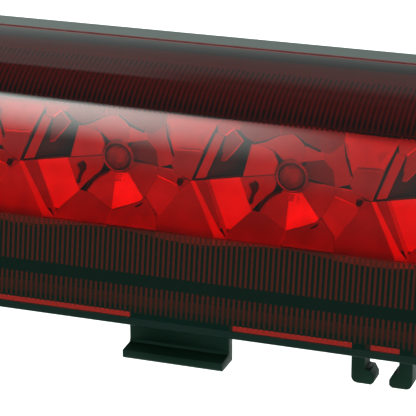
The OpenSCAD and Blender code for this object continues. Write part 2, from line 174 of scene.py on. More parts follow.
def two_tone(finish, share, first, second):
    """A colour from first, a constant or another node's, to second as share goes from 0 to 1."""
    if isinstance(first, tuple):
        mix = add(finish, "Mix", {"data_type": "RGBA", 6: first, 7: second}, i0=share)
    else:
        mix = add(finish, "Mix", {"data_type": "RGBA", 7: second}, i0=share, i6=first)
    return mix.outputs[2]


def clear_body(finish, gloss, body, polish):
    """Ends a finish in a clear body that is polished on its outer side only, as strongly as gloss says."""
    side = add(finish, "NewGeometry")
    outer = add(finish, "Math", {"operation": "SUBTRACT", 0: 1.0}, i1=side.outputs["Backfacing"])
    share = add(finish, "Math", {"operation": "MULTIPLY"}, i0=gloss, i1=outer.outputs[0])
    both = add(finish, "MixShader", i0=share.outputs[0], i1=body.outputs[0], i2=polish.outputs[0])
    add(finish, "OutputMaterial", Surface=both.outputs[0])


red_acrylic = new_finish("red_acrylic")
acrylic_gloss = add(red_acrylic, "Fresnel", {"IOR": 1.8})
# The red turns darker below 2.9 mm: painted shade on the lens's foot, for the shadow behind the lamp seen
# through it.
red_with_painted_foot_shade = two_tone(red_acrylic, above(red_acrylic, 2.9, 2.3),
                        (0.93, 0.13, 0.125, 1), (0.44, 0.055, 0.055, 1))
tint = add(red_acrylic, "BsdfTransparent", Color=red_with_painted_foot_shade)
polish = add(red_acrylic, "BsdfGlossy", {"Color": (1, 1, 1, 1), "Roughness": 0.045})
clear_body(red_acrylic, acrylic_gloss.outputs[0], tint, polish)

step_out = Vector((LIP, 0))
lens_outline = [front(LIP) + step_out, front(NOTCH) + step_out]
lens_outline += skin(NOTCH, 0) + skin(LIP, LENS_WALL)[::-1]
lens = solid("lens_shell", *round_the_lamp(lens_outline, stop=WELD), red_acrylic)
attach(lens, "lamp")
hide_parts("lens")

# Flutes. Half-round ribs moulded on the lens's inner face, a millimetre apart, in a narrow
# band at the foot, a wide band below the window and another over the brow. They hide the
# black frame and spread the light.
FLUTE_PITCH, FLUTE_WIDTH, FLUTE_HEIGHT = 1.0, 0.44, 0.30
FLUTE_SINK = 0.05                            # how deep its flat side is sunk in the wall
FLUTE_STEPS = 6                              # in its half circle
FOOT_BAND, WIDE_BAND = (1.5, 6.4), (8.8, 16.8)    # heights on the straight front
BROW_BAND = spread(math.radians(39.5), math.radians(75), 10)
ROUND = DEPTH - LENS_WALL                    # radius of the inner face in the rounded ends
FLUTED_ARC = 1.46                            # radians of each end that carry flutes


def flute(at_end):
    """One flute in three stretches, its middle at x = 0. At a rounded end it narrows towards the axis."""
    points, faces = [], []
    bands = [[(front, height) for height in FOOT_BAND], [(front, height) for height in WIDE_BAND],
             [(curve, lean) for lean in BROW_BAND]]
    around = FLUTE_STEPS + 1
    for band in bands:
        first = len(points)
        for place, value in band:
            for step in range(around):
                angle = math.pi * step / FLUTE_STEPS
                y, z = place(value, LENS_WALL - FLUTE_SINK + FLUTE_HEIGHT * math.sin(angle))
                across = FLUTE_WIDTH / 2 * math.cos(angle)
                if at_end:
                    turn = across / ROUND
                    points.append(((DEPTH - y) * math.sin(turn), DEPTH - (DEPTH - y) * math.cos(turn), z))
                else:
                    points.append((across, y, z))
        last = len(points) - around
        for ring in range(first, last, around):
            for i in range(around):
                a, b = ring + i, ring + (i + 1) % around
                faces.append([a, b, b + around, a + around])
        faces.append([first + i for i in range(around)])
        faces.append([last + i for i in range(around)])
    return solid("flute", points, faces, sharp=50)


def row_tree():
    """Geometry nodes that set copies of a shape in a row, each a step further and turned a little more."""
    tree = bpy.data.node_groups.new("row_of_parts", "GeometryNodeTree")
    for name, kind in (("Shape", "Object"), ("Count", "Int"), ("First", "Vector"), ("Step", "Vector"),
                       ("First turn", "Float"), ("Turn", "Float"), ("Finish", "Material")):
        tree.interface.new_socket(name, in_out="INPUT", socket_type="NodeSocket" + kind)
    tree.interface.new_socket("Row", in_out="OUTPUT", socket_type="NodeSocketGeometry")
    new, link = tree.nodes.new, tree.links.new
    ask, done = new("NodeGroupInput"), new("NodeGroupOutput")
    index = new("GeometryNodeInputIndex")
    place = new("ShaderNodeVectorMath")
    place.operation = "MULTIPLY_ADD"
    turn = new("ShaderNodeMath")
    turn.operation = "MULTIPLY_ADD"
    turned = new("ShaderNodeCombineXYZ")
    points = new("GeometryNodePoints")
    shape = new("GeometryNodeObjectInfo")
    copies = new("GeometryNodeInstanceOnPoints")
    real = new("GeometryNodeRealizeInstances")
    paint = new("GeometryNodeSetMaterial")
    link(ask.outputs["Step"], place.inputs[0])
    link(index.outputs[0], place.inputs[1])
    link(ask.outputs["First"], place.inputs[2])
    link(ask.outputs["Turn"], turn.inputs[0])
    link(index.outputs[0], turn.inputs[1])
    link(ask.outputs["First turn"], turn.inputs[2])
    link(turn.outputs[0], turned.inputs["Z"])
    link(ask.outputs["Count"], points.inputs["Count"])
    link(place.outputs[0], points.inputs["Position"])
    link(ask.outputs["Shape"], shape.inputs["Object"])
    link(points.outputs[0], copies.inputs["Points"])
    link(shape.outputs["Geometry"], copies.inputs["Instance"])
    link(turned.outputs[0], copies.inputs["Rotation"])
    link(copies.outputs[0], real.inputs[0])
    link(real.outputs[0], paint.inputs["Geometry"])
    link(ask.outputs["Finish"], paint.inputs["Material"])
    link(paint.outputs[0], done.inputs[0])
    return tree


ROW = row_tree()


def row_of(name, shape, count, first, step, finish, first_turn=0.0, turn=0.0):
    """A plain mesh of count copies of a shape, which is used up. first and step are in millimetres."""
    host = bpy.data.objects.new(name + "_row", bpy.data.meshes.new(name))
    bpy.context.scene.collection.objects.link(host)
    modifier = host.modifiers.new("row", "NODES")
    modifier.node_group = ROW
    sockets = {i.name: i.identifier for i in ROW.interface.items_tree if i.in_out == "INPUT"}
    modifier[sockets["Shape"]] = shape
    modifier[sockets["Count"]] = count
    modifier[sockets["First"]] = [v * MM for v in first]
    modifier[sockets["Step"]] = [v * MM for v in step]
    modifier[sockets["First turn"]] = first_turn
    modifier[sockets["Turn"]] = turn
    modifier[sockets["Finish"]] = finish
    evaluated = host.evaluated_get(bpy.context.evaluated_depsgraph_get())
    mesh = bpy.data.meshes.new_from_object(evaluated)
    mesh.name = name
    host.modifiers.remove(modifier)
    bpy.data.objects.remove(host)
    bpy.data.objects.remove(shape)
    piece = bpy.data.objects.new(name, mesh)
    bpy.context.scene.collection.objects.link(piece)
    return piece


def surface(finish, values, **links):
    """Ends a finish in an opaque surface."""
    body = add(finish, "BsdfPrincipled", values, **links)
    add(finish, "OutputMaterial", Surface=body.outputs[0])


# Painted light: the flutes' red is made bright on the straight front and over the brow, and dark between 20
# and 36 mm up, standing in for how much light each band catches.
flute_red = new_finish("flute_red")
front_painted_light = two_tone(flute_red, above(flute_red, 20, 36),
                     (0.070, 0.007, 0.005, 1), (0.012, 0.003, 0.002, 1))
flute_painted_light = two_tone(flute_red, above(flute_red, 36.5, 40), front_painted_light, (0.070, 0.009, 0.006, 1))
surface(flute_red, {"Roughness": 0.4, "IOR": 1.15}, Base_Color=flute_painted_light)

straight_count = int(2 * HALF / FLUTE_PITCH)
flutes = row_of("flutes_middle", flute(False), straight_count,
                (-(straight_count - 1) / 2 * FLUTE_PITCH, 0, 0), (FLUTE_PITCH, 0, 0), flute_red)
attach(flutes, "lamp")
end_count = int(ROUND * FLUTED_ARC / FLUTE_PITCH)
for word, sign in (("left", -1), ("right", 1)):
    end_flute = flute(True)
    end_flute.data.transform(Matrix.Translation((0, (SEAT - DEPTH) * MM, 0)))
    step_turn = sign * FLUTE_PITCH / ROUND
    fluted_end = row_of("flutes_" + word, end_flute, end_count, (sign * HALF, DEPTH - SEAT, 0), (0, 0, 0),
                        flute_red, step_turn / 2, step_turn)
    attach(fluted_end, "lamp")

# Edge trim. Black satin plastic moulded on to the lens's two long edges: a thin lip under the
# front and a ring that covers the gap between the lens's top edge and the housing.
trim_black = new_finish("trim_black")
surface(trim_black, {"Base Color": (0.003, 0.010, 0.008, 1), "Roughness": 0.3, "IOR": 1.42,
                     "Specular Tint": (0.75, 1.0, 0.92, 1)})
TOP = rim_high.z / MM + PEGS                 # height of the rim's upper edge
lower_trim = [(0.03, 0.12), (0.15, 0), front(0, LENS_WALL), front(LIP, LENS_WALL), front(LIP) + step_out,
              front(NOTCH) + step_out, front(NOTCH), front(LIP)]
lens_edge, lens_edge_inside = curve(ROOF_END), curve(ROOF_END, LENS_WALL)
upper_trim = [lens_edge, lens_edge + Vector((0.3, 0.12)), (DEPTH - 0.5, TOP), (DEPTH, TOP - 0.3),
              (DEPTH, lens_edge_inside.y), lens_edge_inside]
for name, outline, stop in (("trim_lower", lower_trim, WELD), ("trim_upper", upper_trim, DEPTH)):
    trim = solid(name, *round_the_lamp(outline, stop=stop), trim_black, sharp=12)
    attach(trim, "lamp")
    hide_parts("edge_trim")

# Weld bead. A thin line of red acrylic squeezed out along the joint of the lens and the upper
# trim when the two are hot-plate welded, painted an opaque lighter red: a painted highlight along
# the lens's top edge. It swells and thins a little along its length.
bead_painted_highlight = new_finish("bead_painted_highlight")
bead_swell = add(bead_painted_highlight, "TexNoise", {"Scale": 500.0, "Detail": 3.0}, Vector=place_on(bead_painted_highlight))
bead_relief = add(bead_painted_highlight, "Bump", {"Strength": 0.5, "Distance": 0.0002}, Height=bead_swell.outputs[0])
surface(bead_painted_highlight, {"Base Color": (0.11, 0.018, 0.018, 1), "Roughness": 0.4, "IOR": 1.3},
        Normal=bead_relief.outputs[0])
bead_outline = [lens_edge + Vector(corner)
                for corner in ((-0.2, -0.25), (-0.12, 0.05), (0.1, 0.14), (0.32, 0.16), (0.3, -0.25))]
bead = solid("weld_bead", *round_the_lamp(bead_outline, stop=DEPTH - 0.5), bead_painted_highlight)
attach(bead, "lamp")

# Bezel. A thin moulded black frame close behind the lens, with one long opening for the light
# cells, whose edges wave in and out once for each cell. Its upper part, from 38 mm up, is painted
# red-brown: a painted reflection, standing in for the lit roof of the lens.
bezel_black = new_finish("bezel_black")
# Painted reflection: red-brown from 38 mm up, black below.
bezel_black_with_painted_reflection = two_tone(bezel_black, above(bezel_black, 38, 41),
                      (0.003, 0.004, 0.004, 1), (0.11, 0.05, 0.05, 1))
surface(bezel_black, {"Roughness": 0.45, "IOR": 1.08}, Base_Color=bezel_black_with_painted_reflection)
CELLS, PITCH = 8, 34.0
BEZEL_OUT, BEZEL_IN = 3.4, 4.8               # its two faces, set in from the lens's outside
SILL_LOW, SILL_PLAIN, SILL_TOP = 1.5, 10.0, 15.15
HEAD_LOW, HEAD_TOP = 42.2, 76.0              # leans in degrees
SILL_RISE, HEAD_RISE = 0.6, 0.9              # of the waves, in millimetres and degrees
COLUMN_GAP = 2.0


def wave(x, middle, rise):
    """A value that swings about its middle once for each cell."""
    return middle + rise * math.cos(math.tau * (x - PITCH / 2) / PITCH)


def sill(x):
    heights = (SILL_LOW, SILL_PLAIN, wave(x, SILL_TOP, SILL_RISE))
    return [front(z, BEZEL_OUT) for z in heights] + [front(z, BEZEL_IN) for z in reversed(heights)]


def head(x):
    leans = spread(math.radians(wave(x, HEAD_LOW, HEAD_RISE)), math.radians(HEAD_TOP), 12)
    return [curve(a, BEZEL_OUT) for a in leans] + [curve(a, BEZEL_IN) for a in reversed(leans)]


bezel_columns = spread(-HALF, HALF, int(2 * HALF / COLUMN_GAP))
for name, outline in (("bezel_sill", sill), ("bezel_head", head)):
    bezel = solid(name, *round_the_lamp(outline, bezel_columns, stop=WELD - 1, turns=18), bezel_black)
    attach(bezel, "lamp")
    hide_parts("bezel")

# Reflector. Vacuum-metallised plastic in eight faceted cells, one round each LED. Every facet
# throws the light a little differently, and each has its brightness painted in as painted light;
# dark slabs laid over some of the joints between them are painted shadow.
metallised = new_finish("metallised")
metal_place = place_on(metallised)
# The polish attribute is painted light: each facet's brightness, painted into the metal's colour.
shade = add(metallised, "Attribute", {"attribute_name": "polish"})
orange_peel = add(metallised, "TexNoise", {"Scale": 900.0, "Detail": 3.0, "Roughness": 0.6},
                  Vector=metal_place)
haze = add(metallised, "TexNoise", {"Scale": 210.0, "Detail": 2.0}, Vector=metal_place)
clouded = add(metallised, "MapRange", {1: 0.35, 2: 0.65, 3: 0.88, 4: 1.12}, i0=haze.outputs[0])
coated = add(metallised, "VectorMath", {"operation": "SCALE"}, i0=shade.outputs["Color"],
             Scale=clouded.outputs[0])
misted = add(metallised, "MapRange", {1: 0.3, 2: 0.7, 3: 0.28, 4: 0.33}, i0=orange_peel.outputs[0])
ripple = add(metallised, "Bump", {"Strength": 0.05, "Distance": 0.0001}, Height=orange_peel.outputs[0])
surface(metallised, {"Metallic": 1.0}, Base_Color=coated.outputs[0], Roughness=misted.outputs[0],
        Normal=ripple.outputs[0])
LED_Z = 27.0                                 # height of the row of LEDs
FIRST_LED = -(CELLS - 1) / 2 * PITCH         # the row is centred on the lamp's middle
FACET_BACK = 16.4                            # no facet reaches deeper than this
FACET_THICK, CHAMFER = 1.5, 0.16
FACET_LAP, SLIT_LAP = 0.10, -0.04            # how far an outline grows under its neighbours
SLIT_PROUD = 0.35                            # how far the slits' painted shadow lies in front of the facets
# Painted shadow in the slits, painted shade in the LED's hole, painted light on its collar.
SLIT_PAINTED_SHADOW, HOLE_PAINTED_SHADE, COLLAR_PAINTED_LIGHT = 0.05, 0.42, 0.60
COLLAR_SIDES = 28
HOLE = ((2.6, 16.3), (2.6, 14.9))            # radius and depth along the LED's hole, and its collar's
COLLAR = ((2.85, 14.7), (3.1, 15.0), (3.3, 16.3))
# Each facet has its polish, from 0 to 1, which is painted light: a brightness painted into its
# colour for the light it throws back. Then its corners in millimetres: across from the LED, depth
# from the rim, and height above the LED.
FACETS = (
    # lower half, from the pillar on the left to the pillar on the right
    (1.00, ((-17, 8, -0.6), (-16.3, 8.3, -0.6), (-11.6, 8, -9.2), (-10.2, 7.8, -10.6), (-10.2, 7.75, -10.9),
            (-12.5, 7.6, -10.9), (-12.6, 7.6, -10.3))),
    (0.36, ((-16.3, 8.4, -0.6), (-14.3, 9.3, -0.5), (-10.8, 8.3, -8.7), (-11.5, 8.1, -9.3))),
    (1.00, ((-14.5, 9.1, -0.5), (-13.9, 9.2, -0.5), (-10.2, 7.9, -9.0), (-10.1, 7.8, -10.6),
            (-10.8, 7.8, -9.2))),
    (0.95, ((-14.0, 9.5, -0.5), (-9.0, 12, -0.3), (-6.5, 11.5, -6.2), (-9.8, 8.9, -9.4),
            (-10.3, 8.3, -9.0))),
    (0.62, ((-6.5, 11.5, -6.2), (-4.5, 11.8, -6.6), (0.4, 10.4, -8.9), (0.1, 7.9, -10.9),
            (-10.2, 7.8, -10.9), (-9.9, 8.8, -9.5))),
    (0.80, ((-12.5, 7.9, -10.8), (-10.2, 8.1, -10.8), (-10.0, 7.25, -12.9), (-12.4, 7.25, -12.9))),
    (0.62, ((-10.2, 8.1, -10.8), (0.1, 8.15, -10.8), (0.3, 7.25, -12.9), (-10.0, 7.25, -12.9))),
    (0.26, ((0.1, 8.15, -10.8), (10.1, 8.1, -10.8), (10.0, 7.25, -12.9), (0.3, 7.25, -12.9))),
    (0.72, ((10.1, 8.1, -10.8), (21.5, 7.9, -10.8), (21.6, 7.25, -12.9), (10.0, 7.25, -12.9))),
    (0.42, ((-9.0, 12.2, -0.3), (-3.0, 15.7, -0.3), (-2.9, 15.3, -1.5), (-3.5, 14.2, -3.4),
            (-5.2, 12.6, -4.6), (-6.5, 11.7, -6.1))),
    (0.72, ((-1.4, 15.4, -2.8), (-3.6, 14.2, -3.4), (-5.2, 12.2, -6.2), (-4.5, 11.9, -6.7),
            (0.3, 10.5, -8.9), (-0.4, 15, -3.1))),
    (0.58, ((-0.4, 15, -3.1), (1.9, 15, -2.7), (6.3, 11.5, -6.2), (5.7, 11.2, -6.9), (0.3, 10.5, -8.9))),
    (0.55, ((2.9, 15.5, -0.8), (8.4, 13, -0.3), (8.9, 12.5, -2.1), (7.0, 11.5, -5.7), (6.3, 11.6, -6.2),
            (1.9, 15, -2.7))),
    (0.18, ((0.4, 10.4, -9.0), (5.7, 11.1, -6.9), (7.0, 11, -5.9), (10.1, 8.9, -8.9), (10.1, 7.8, -10.9),
            (0.1, 7.9, -10.9))),
    (0.75, ((9.0, 12.1, -1.8), (13.6, 10, -2.3), (14.0, 9.8, -3.1), (12.0, 9.5, -6.2), (10.1, 9, -8.8),
            (7.0, 11, -5.7))),
    (0.90, ((7.2, 11, -5.9), (7.6, 10.7, -6.0), (10.2, 8.9, -8.3), (10.1, 8.8, -9.1))),
    (0.75, ((12.0, 9.5, -6.2), (14.0, 9.8, -3.1), (17, 8, -0.6), (21.6, 7.5, -10.4), (21.6, 7.4, -10.9),
            (10.1, 7.8, -10.9), (10.1, 9, -8.8))),
    (0.85, ((11.9, 9.4, -6.4), (12.4, 9.4, -6.0), (10.9, 8.5, -9.8), (10.4, 8.6, -9.4))),
    (0.62, ((8.6, 12.8, -0.3), (12.9, 11.0, 0.1), (15.2, 9.6, -0.9), (17, 8.1, -0.6), (14.0, 9.8, -3.1),
            (13.6, 10, -2.3), (9.0, 12.3, -1.9))),
    # two small facets at full polish: painted glints just below the LED's collar
    (1.00, ((-0.5, 14.5, -3.4), (0.8, 14.5, -3.3), (0.7, 13.8, -4.2), (-0.3, 13.8, -4.1))),
    (1.00, ((1.2, 14.4, -3.5), (1.6, 14.4, -3.5), (1.7, 13.7, -4.4), (1.3, 13.7, -4.4))),
    # upper half, the same way; an open notch on the left shows the dark frame behind
    (0.80, ((-12.9, 12.5, 2.4), (-11.9, 12.6, 2.5), (-10.2, 13, 4.6), (-8.9, 13.5, 6.3), (-10.9, 14, 8.2),
            (-12.2, 13.4, 7.0))),
    (0.45, ((-16.4, 8.7, -0.2), (-14.8, 9.9, -0.2), (-12.4, 13.0, 6.8), (-14.0, 13.0, 7.4))),
    (0.65, ((-13.5, 13, 7.0), (-12.2, 13.6, 7.0), (-10.9, 14.2, 8.2), (-9.9, 14.3, 8.0), (-9.4, 15.4, 10.2),
            (-13.6, 15.4, 10.2), (-14.0, 14.3, 9.0))),
    (0.50, ((-8.5, 12.4, -0.1), (-3.1, 15.7, -0.1), (-2.9, 15.6, 2.2), (-3.6, 15, 4.4), (-6.8, 14.3, 6.0),
            (-7.3, 14.2, 6.0))),
    (0.75, ((-9.9, 14.3, 8.0), (-8.4, 14, 6.8), (-6.8, 14, 6.0), (-4.5, 14.3, 6.6), (-2.1, 14.4, 7.9),
            (-2.2, 15.4, 10.2), (-9.7, 15.4, 10.2))),
    (0.70, ((-3.3, 15, 4.6), (-1.9, 15.6, 2.8), (1.9, 15.6, 2.8), (2.6, 15, 5.6), (0.7, 14.2, 8.5),
            (-2.1, 14.2, 7.9), (-4.5, 14.4, 6.6), (-6.8, 14.3, 6.0))),
    (0.22, ((2.4, 15.6, 2.2), (3.0, 15.6, -0.3), (8.8, 13, -0.2), (8.2, 13.6, 2.6), (6.2, 14.5, 4.1),
            (3.0, 15.3, 3.4))),
    (0.70, ((2.0, 15.1, 3.0), (6.2, 14.4, 4.1), (5.9, 14.2, 5.9), (3.0, 14.4, 6.8), (2.4, 15, 5.6))),
    (0.75, ((0.7, 14.2, 8.5), (3.1, 14.3, 6.8), (5.8, 14, 5.9), (7.4, 14.2, 5.4), (10.2, 13.8, 8.0),
            (10.2, 15.4, 10.2), (-2.2, 15.4, 10.2), (-2.0, 14.4, 8.1))),
    (0.62, ((6.2, 14.4, 4.1), (8.2, 13.6, 2.6), (8.8, 13, -0.3), (12.0, 12, 1.0), (11.3, 13, 4.4),
            (10.3, 13.7, 8.0), (7.4, 14.2, 5.4), (5.9, 14.2, 5.9))),
    (0.55, ((11.3, 13, 4.4), (12.0, 12, 1.0), (13.2, 11, -0.2), (17, 8.1, -0.4), (18.5, 11.2, 5.1),
            (20.3, 14.2, 9.5), (20.4, 15.4, 10.2), (10.1, 15.4, 10.2), (10.3, 13.9, 8.0))),
    (0.50, ((12.0, 11.3, 1.0), (13.2, 10.4, -0.2), (17, 7.9, -0.4), (18.3, 10.3, 4.6), (13.0, 11.2, 4.0))),
)
# Painted shadow: dark slabs laid just in front of the joints between some of the facets, where gaps would be
# in shade, as corners in the same way.
PAINTED_SHADOW_SLITS = (
    ((-7.0, 12.4, -1.2), (-6.4, 12.6, -0.9), (-5.8, 12.8, -1.6), (-5.7, 12.6, -2.6), (-6.3, 12.2, -3.6),
     (-6.5, 11.6, -4.9), (-6.9, 11.6, -4.7), (-6.7, 12, -3.4), (-6.3, 12.4, -2.4)),
    ((-5.6, 12, -6.1), (-5.2, 12.6, -4.8), (-4.2, 13.6, -3.6), (-3.4, 14.2, -3.0), (-1.8, 14.9, -2.85),
     (-1.8, 14.9, -3.0), (-3.3, 14, -3.3), (-4.8, 12.8, -4.9), (-5.1, 12.2, -5.7)),
    ((0.8, 9.9, -10.8), (1.1, 10, -9.6), (2.2, 10.3, -8.9), (3.8, 10.6, -8.4), (6.4, 11, -6.8),
     (6.2, 10.8, -7.3), (4.0, 10.4, -8.9), (2.5, 10, -9.4), (1.9, 9.7, -10.3), (1.3, 9.6, -11.0)),
    ((13.8, 10, -0.9), (14.6, 9.6, -0.9), (14.7, 9.4, -1.5), (14.1, 9.5, -2.3), (13.6, 9.8, -1.8)),
    ((-9.9, 14, 8.1), (-8.4, 13.8, 6.9), (-6.8, 13.8, 6.1), (-4.5, 14, 6.8), (-2.1, 14, 8.0),
     (-4.6, 14, 6.5), (-6.8, 13.8, 5.8), (-8.6, 13.8, 6.7)),
    ((0.7, 14, 8.6), (3.1, 14, 6.9), (5.8, 13.8, 6.0), (5.8, 13.8, 5.7), (3.0, 14, 6.6)),
    ((10.2, 13.6, 8.0), (10.9, 13.2, 5.6), (12.4, 12, 2.4), (12.2, 12, 2.3), (10.6, 13.2, 5.5)),
)


def facet_cell():
    """One cell: each facet a slab that runs a little under its neighbours, with dark slabs of painted shadow
    laid as slits between. Every point carries its tone of painted light.
    """
    points, faces, tones = [], [], []
    pieces = [(tone, corners, FACET_LAP, 0.0) for tone, corners in FACETS]
    pieces += [(SLIT_PAINTED_SHADOW, corners, SLIT_LAP, SLIT_PROUD) for corners in PAINTED_SHADOW_SLITS]
    for tone, corners, lap, proud in pieces:
        middle = sum((Vector(corner) for corner in corners), Vector()) / len(corners)
        first, count = len(points), len(corners)
        for depth, grow in ((0, lap - CHAMFER), (CHAMFER / 2, lap), (FACET_THICK, lap)):
            for corner in corners:
                at = Vector(corner) - (middle - Vector(corner)).normalized() * grow
                points.append((at.x, min(at.y - proud + depth, FACET_BACK), at.z + LED_Z))
                tones.append(tone)
        faces.append([first + i for i in range(count)])
        faces.append([first + 2 * count + i for i in reversed(range(count))])
        for ring in (first, first + count):
            for i in range(count):
                after = (i + 1) % count
                faces.append([ring + i, ring + after, ring + count + after, ring + count + i])
    first, outline = len(points), HOLE + COLLAR
    for radius, depth in outline:
        for i in range(COLLAR_SIDES):
            around = math.tau * i / COLLAR_SIDES
            points.append((radius * math.cos(around), depth, LED_Z + radius * math.sin(around)))
            tones.append(HOLE_PAINTED_SHADE if (radius, depth) in HOLE else COLLAR_PAINTED_LIGHT)
    for ring in range(len(outline)):
        a, b = (first + step % len(outline) * COLLAR_SIDES for step in (ring, ring + 1))
        for i in range(COLLAR_SIDES):
            after = (i + 1) % COLLAR_SIDES
            faces.append([a + i, a + after, b + after, b + i])
    return points, faces, tones


points, faces, tones = facet_cell()
cell = solid("cell", points, faces, sharp=1, weld=False)
painted_light_values = cell.data.attributes.new("polish", "FLOAT", "POINT")
for value, tone in zip(painted_light_values.data, tones):
    value.value = tone
reflector = row_of("reflector_facets", cell, CELLS, (FIRST_LED, 0, 0), (PITCH, 0, 0), metallised)
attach(reflector, "lamp")

# Tray. The reflector's carrier: a moulded tray behind the facets, in the same plastic, screwed to
# the housing. It lies in deep shadow, and its colour is painted near black as painted shade.
tray_painted_shade = new_finish("tray_painted_shade")
surface(tray_painted_shade, {"Base Color": (0.02, 0.02, 0.02, 1), "Roughness": 0.4, "Metallic": 0.3})


def dress(name, finish):
    """Gives a CAD node its finish."""
    node_of[name].data.materials.clear()
    node_of[name].data.materials.append(finish)


dress("reflector", tray_painted_shade)

# LEDs. Clear epoxy domes, cast round their lead frames, with a flange at the foot and a flat on one
# side of it. Each looks out through its hole in the reflector.
LED_R, LED_FLANGE, LED_TALL = 2.5, 22.0, 8.7
FLANGE_OUT, FLANGE_THICK, FLANGE_EDGE = 0.4, 1.0, 0.05
LED_SIDES = 24


def turned(name, outline, flat_at):
    """A solid of revolution about the LED's axis, cut flat on one side: outline is [radius, depth]."""
    points, faces = [], []
    for radius, depth in outline:
        for i in range(LED_SIDES):
            around = math.tau * i / LED_SIDES
            across = max(radius * math.cos(around), -flat_at)
            points.append((across, depth, LED_Z + radius * math.sin(around)))
    last = len(points) - LED_SIDES
    for ring in range(0, last, LED_SIDES):
        for i in range(LED_SIDES):
            a, b = ring + i, ring + (i + 1) % LED_SIDES
            faces.append([a, b, b + LED_SIDES, a + LED_SIDES])
    faces.append(list(range(LED_SIDES)))
    faces.append([last + i for i in range(LED_SIDES)])
    return solid(name, points, faces, sharp=40)


led_epoxy = new_finish("led_epoxy")
led_gloss = add(led_epoxy, "LayerWeight", {"Blend": 0.25})
led_clear = add(led_epoxy, "BsdfTransparent", {"Color": (0.86, 0.62, 0.62, 1)})
led_haze = add(led_epoxy, "BsdfGlossy", {"Color": (0.72, 0.04, 0.04, 1), "Roughness": 0.6})
led_cast = add(led_epoxy, "MixShader", {0: 0.52}, i1=led_clear.outputs[0], i2=led_haze.outputs[0])
led_shine = add(led_epoxy, "BsdfGlossy", {"Color": (0.9, 0.9, 0.9, 1), "Roughness": 0.12})
clear_body(led_epoxy, led_gloss.outputs["Fresnel"], led_cast, led_shine)

dome = [(LED_R * math.sin(a), LED_FLANGE - LED_TALL + LED_R * (1 - math.cos(a)))
        for a in (0.05, 0.25, 0.5, 0.75, 1.0, 1.25, math.pi / 2)]
dome += [(LED_R, LED_FLANGE - FLANGE_THICK), (LED_R + FLANGE_OUT, LED_FLANGE - FLANGE_THICK + FLANGE_EDGE),
         (LED_R + FLANGE_OUT, LED_FLANGE)]
led = turned("led", dome, LED_R)
leds = row_of("led_domes", led, CELLS, (FIRST_LED, 0, 0), (PITCH, 0, 0), led_epoxy)
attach(leds, "lamp")
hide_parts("leds")

# Lead frames. Two posts of tinned steel in each dome, stamped from one strip: the wide one carries
# the chip in a small round cup, and the narrow one is joined to it by a hair wire.
lead_metal = new_finish("lead_metal")
surface(lead_metal, {"Base Color": (0.35, 0.33, 0.30, 1), "Metallic": 0.9, "Roughness": 0.35})
WIDE_TOP, WIDE_SHOULDER = 16.6, 17.8         # depths
NARROW_TOP, NARROW_SHOULDER = 16.2, 17.2
CUP_TOP, CUP_IN, CUP_OUT, CUP_X, CUP_SIDES = 15.9, 0.55, 0.95, -0.3, 12
WIDE_ANVIL = ((-1.5, -0.35), (-1.5, 0.35), (0.35, 0.5), (0.7, 0), (0.35, -0.5))
WIDE_LEG = ((-1.52, -0.25), (-1.52, 0.25), (-1.02, 0.25), (-1.02, -0.25))
NARROW_ANVIL = ((0.95, -0.45), (1.05, 0.6), (1.6, 0.35), (1.6, -0.35))
NARROW_LEG = ((1.02, -0.25), (1.02, 0.25), (1.52, 0.25), (1.52, -0.25))


def block(points, faces, corners, near, far):
    """Adds a slab to a mesh in the making: corners [x, z] about the LED's axis, from depth to depth."""
    first, count = len(points), len(corners)
    for depth in (near, far):
        points += [(x, depth, LED_Z + z) for x, z in corners]
    faces.append([first + i for i in range(count)])
    faces.append([first + count + i for i in range(count)])
    for i in range(count):
        after = (i + 1) % count
        faces.append([first + i, first + after, first + count + after, first + count + i])


points, faces = [], []
block(points, faces, WIDE_ANVIL, WIDE_TOP, WIDE_SHOULDER)
block(points, faces, WIDE_LEG, WIDE_SHOULDER, LED_FLANGE)
block(points, faces, NARROW_ANVIL, NARROW_TOP, NARROW_SHOULDER)
block(points, faces, NARROW_LEG, NARROW_SHOULDER, LED_FLANGE)
for i in range(CUP_SIDES):
    around, after = (math.tau * step / CUP_SIDES for step in (i, i + 1))
    sector = ((CUP_IN, around), (CUP_OUT, around), (CUP_OUT, after), (CUP_IN, after))
    block(points, faces, [(r * math.cos(a) + CUP_X, r * math.sin(a)) for r, a in sector], CUP_TOP, WIDE_TOP)
lead_frame = solid("lead_frame", points, faces, weld=False)
lead_frames = row_of("led_frames", lead_frame, CELLS, (FIRST_LED, 0, 0), (PITCH, 0, 0), lead_metal)
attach(lead_frames, "lamp")

# Housing. Black ABS, injection moulded: a tray with rounded ends, welded to the lens all round. The
# two locating pegs stand on its back. Its faces are spark-grained and a little scuffed.
MERGE, MERGE_AFTER, NO_LENGTH = 2e-6, 1e-6, 1e-7       # metres
FLAT, EDGE, CREASE = (math.radians(angle) for angle in (0.5, 32, 28))


